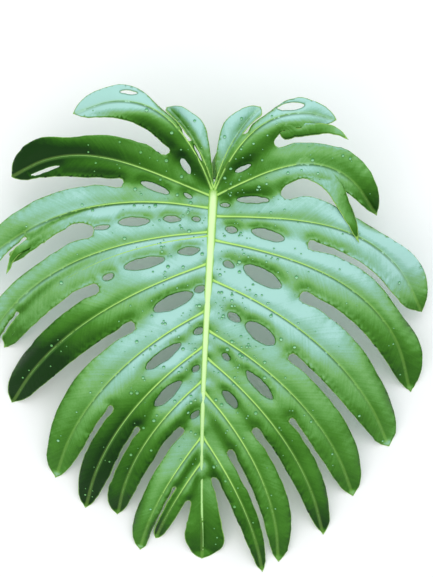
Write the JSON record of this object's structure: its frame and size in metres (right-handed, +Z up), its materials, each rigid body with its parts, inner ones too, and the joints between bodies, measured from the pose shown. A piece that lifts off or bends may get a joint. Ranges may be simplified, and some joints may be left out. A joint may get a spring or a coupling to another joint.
{
  "type": "monstera leaf",
  "caption": "Large split leaf of a monstera with holes along its midrib, picked with a short cut stalk and lying face up.",
  "frame": {"origin": "centre of the bounding box in plan, at the height of the surface the leaf lies on", "axes": "+Z up from the surface, -Y towards the leaf's tip, +Y towards the cut stalk, +X across the blade"},
  "size_m": [0.6115, 0.6364, 0.1321],
  "materials": {
    "blade": "satin",
    "stalk": "satin"
  },
  "bodies": {
    "root": {"leaf_blade": "blade", "petiole": "stalk"}
  },
  "joints": []
}
